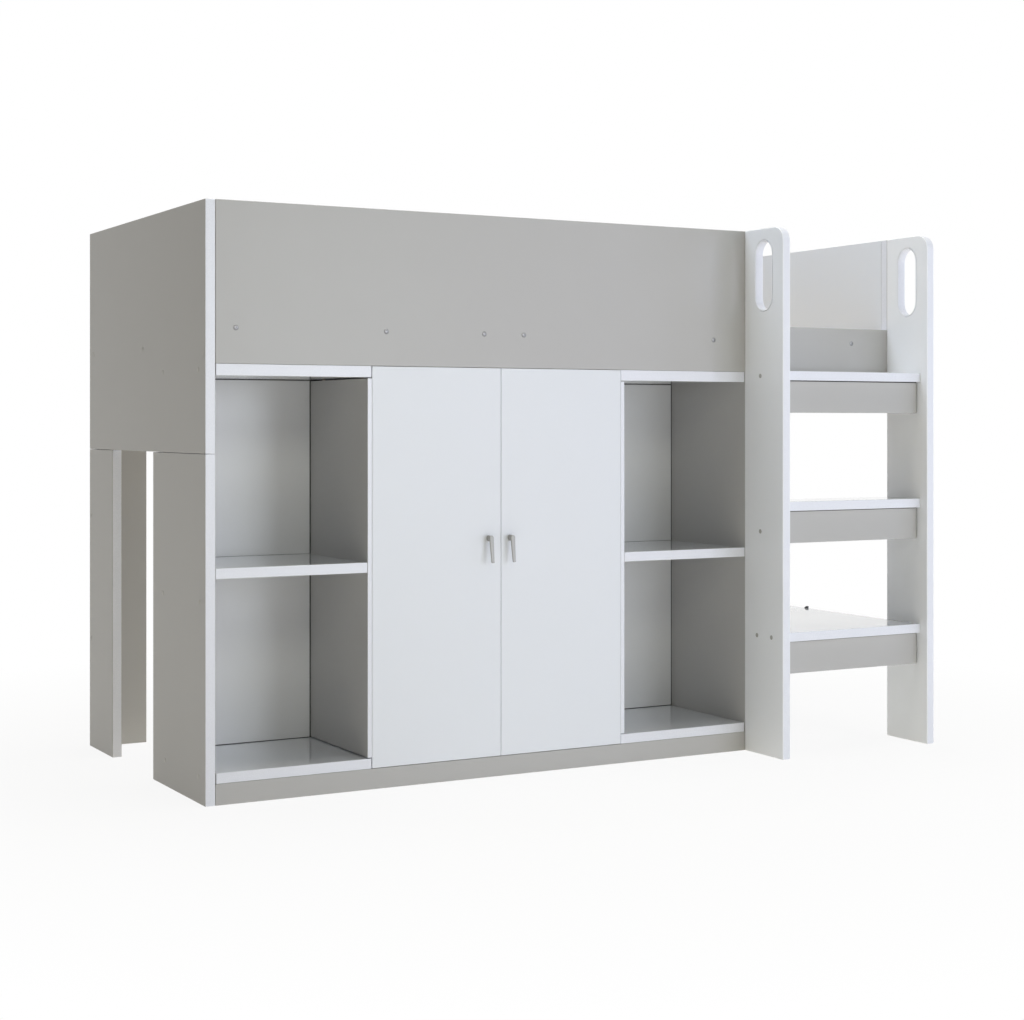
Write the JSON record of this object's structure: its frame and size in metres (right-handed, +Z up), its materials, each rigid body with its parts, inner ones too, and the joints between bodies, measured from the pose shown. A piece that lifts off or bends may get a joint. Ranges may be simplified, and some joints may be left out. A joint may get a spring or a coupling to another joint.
{
  "type": "cabin bed",
  "caption": "Raised single bed on a storage unit with open shelf bays and a two-door cupboard, with solid guards, a step ladder and grip slots at one end.",
  "frame": {"origin": "on the floor, at the middle of the bed's length and of its depth with the ladder", "axes": "+X to the ladder end, along the bed's length; +Y to the back; +Z up"},
  "size_m": [2.0632, 1.128, 1.42],
  "materials": {
    "grey_board": "satin pale grey laminate on board",
    "white_board": "satin white laminate on board",
    "pine": "planed bare softwood",
    "handle_metal": "dark warm grey satin metal",
    "plated_steel": "bright zinc plate",
    "grey_plastic": "matt pale grey",
    "black_plastic": "matt black"
  },
  "bodies": {
    "frame": {"left_end_panel": "grey_board", "right_end_panel": "grey_board", "front_guard": "grey_board", "entry_rail": "grey_board", "rear_guard": "grey_board", "storage_left_side": "grey_board", "storage_right_side": "grey_board", "storage_top": "white_board", "storage_base": "white_board", "front_plinth": "grey_board", "rear_plinth": "grey_board", "storage_back": "grey_board", "left_partition": "grey_board", "right_partition": "grey_board", "left_bay_shelf": "white_board", "right_bay_shelf": "white_board", "cupboard_shelf": "white_board", "shelf_pins": "plated_steel", "left_hinge_arms": "plated_steel", "right_hinge_arms": "plated_steel", "hinge_arm_screws": "plated_steel", "ladder_left_upright": "white_board", "ladder_right_upright": "white_board", "top_tread": "white_board", "middle_tread": "white_board", "lower_deck": "white_board", "top_riser": "grey_board", "middle_riser": "grey_board", "lower_riser": "grey_board", "deck_batten": "grey_board", "deck_edge_block": "black_plastic", "left_leg_side": "grey_board", "left_leg_back": "grey_board", "right_leg_side": "grey_board", "right_leg_back": "grey_board", "front_cleat": "pine", "centre_beam": "pine", "rear_cleat": "pine", "slats": "pine", "slat_screws": "plated_steel", "rear_cleat_screws": "plated_steel", "guard_bolts": "plated_steel", "guard_bolt_nuts": "plated_steel", "panel_screws": "plated_steel", "cover_caps": "grey_plastic", "dowels": "pine"},
    "left_door": {"left_door": "white_board", "left_handle": "handle_metal", "left_handle_screw": "plated_steel", "left_hinge_leaves": "plated_steel", "left_hinge_pins": "plated_steel", "left_leaf_screws": "plated_steel"},
    "right_door": {"right_door": "white_board", "right_handle": "handle_metal", "right_handle_screw": "plated_steel", "right_hinge_leaves": "plated_steel", "right_hinge_pins": "plated_steel", "right_leaf_screws": "plated_steel"}
  },
  "joints": [
    {"name": "left_door_hinge", "type": "hinge", "parent": "frame", "child": "left_door", "pos_m": [-0.5975, -0.3881, 0.54315], "axis": [0, 0, -1], "range_deg": [0, 100]},
    {"name": "right_door_hinge", "type": "hinge", "parent": "frame", "child": "right_door", "pos_m": [0.0995, -0.3881, 0.54315], "axis": [0, 0, 1], "range_deg": [0, 100]}
  ]
}
